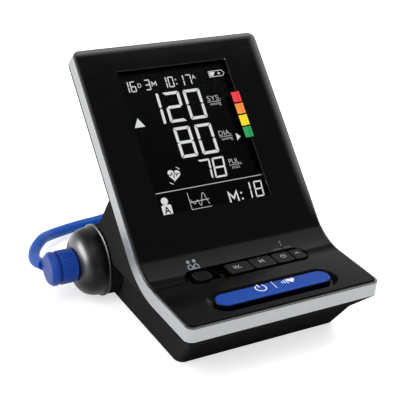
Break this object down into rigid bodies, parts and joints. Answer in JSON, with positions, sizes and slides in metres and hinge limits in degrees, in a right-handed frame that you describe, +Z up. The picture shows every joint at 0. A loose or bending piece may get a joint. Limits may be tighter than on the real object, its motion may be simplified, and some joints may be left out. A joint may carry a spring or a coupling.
{
  "type": "blood pressure monitor",
  "caption": "Desk blood pressure monitor with a sloping display over a button deck, a silver trim, a rear battery barrel with domed ends and a blue air tube.",
  "frame": {"origin": "on the table, under the middle of the monitor without its tube", "axes": "+X to the right across the front, +Y from the front edge to the rear barrel, +Z up"},
  "size_m": [0.1955, 0.2365, 0.1398],
  "materials": {
    "face_black": "gloss",
    "trim_silver": "fine brushed",
    "housing_black": "satin",
    "dome_black": "satin gloss",
    "clear_window": "clear",
    "lcd_black": "clear over black",
    "white_frame": "matte",
    "zebra_rubber": "matte",
    "board_green": "satin",
    "chip_black": "matte",
    "screw_steel": "plain",
    "sensor_grey": "matte",
    "blue_plastic": "gloss",
    "plug_blue": "satin",
    "tube_blue": "satin",
    "key_black": "satin",
    "rubber_black": "matte",
    "tray_black": "matte",
    "cell_silver": "satin",
    "contact_nickel": "bright",
    "motor_steel": "plain",
    "pump_white": "matte",
    "hose_clear": "satin"
  },
  "bodies": {
    "housing": {"air_manifold": "pump_white", "air_socket": "tray_black", "air_tube": "tube_blue", "air_valve": "pump_white", "batteries": "cell_silver", "battery_contacts": "contact_nickel", "battery_tray": "tray_black", "board_chips": "chip_black", "board_screws": "screw_steel", "bottom_cover": "housing_black", "buzzer": "chip_black", "case_screws": "screw_steel", "cuff_connector": "plug_blue", "display_window": "clear_window", "face_panel": "face_black", "key_board": "board_green", "lcd_connector": "zebra_rubber", "lcd_frame": "white_frame", "lcd_glass": "lcd_black", "left_dome": "dome_black", "main_board": "board_green", "plug_cap": "plug_blue", "plug_collar": "plug_blue", "plug_core": "plug_blue", "plug_seal": "rubber_black", "power_jack": "tray_black", "pressure_sensor": "sensor_grey", "pump_cradle": "rubber_black", "pump_head": "pump_white", "pump_hose": "hose_clear", "pump_motor": "motor_steel", "rear_housing": "housing_black", "right_dome": "dome_black", "rubber_feet": "rubber_black", "sensor_hose": "hose_clear", "slide_switch": "screw_steel", "socket_hose": "hose_clear", "tact_switches": "chip_black", "trim_band": "trim_silver", "tube_coil": "tube_blue", "tube_tail": "tube_blue", "valve_hose": "hose_clear"},
    "start_button": {"start_button": "blue_plastic"},
    "user_slider": {"user_slider": "key_black", "switch_lever": "pump_white"},
    "battery_door": {"battery_door": "housing_black"},
    "pump_rotor": {"pump_rotor": "motor_steel"},
    "key_graph": {"key_graph": "key_black"},
    "key_memory": {"key_memory": "key_black"},
    "key_clock": {"key_clock": "key_black"},
    "key_up": {"key_up": "key_black"}
  },
  "joints": [
    {"name": "start_press", "type": "slide", "parent": "housing", "child": "start_button", "axis": [0, 0, -1], "range_m": [0, 0.0008], "stiffness_N_per_m": 600},
    {"name": "key_graph_press", "type": "slide", "parent": "housing", "child": "key_graph", "axis": [0, 0, -1], "range_m": [0, 0.0006], "stiffness_N_per_m": 500},
    {"name": "key_memory_press", "type": "slide", "parent": "housing", "child": "key_memory", "axis": [0, 0, -1], "range_m": [0, 0.0006], "stiffness_N_per_m": 500},
    {"name": "key_clock_press", "type": "slide", "parent": "housing", "child": "key_clock", "axis": [0, 0, -1], "range_m": [0, 0.0006], "stiffness_N_per_m": 500},
    {"name": "key_up_press", "type": "slide", "parent": "housing", "child": "key_up", "axis": [0, 0, -1], "range_m": [0, 0.0006], "stiffness_N_per_m": 500},
    {"name": "user_slide", "type": "slide", "parent": "housing", "child": "user_slider", "axis": [1, 0, 0], "range_m": [0, 0.01]},
    {"name": "battery_door_hinge", "type": "hinge", "parent": "housing", "child": "battery_door", "pos_m": [0.0057, 0.04631, 0.03543], "axis": [1, 0, 0], "range_deg": [0, 95]},
    {"name": "pump_turn", "type": "hinge", "parent": "housing", "child": "pump_rotor", "pos_m": [-0.02, -0.01122, 0.0181], "axis": [1, 0, 0], "continuous": true}
  ]
}
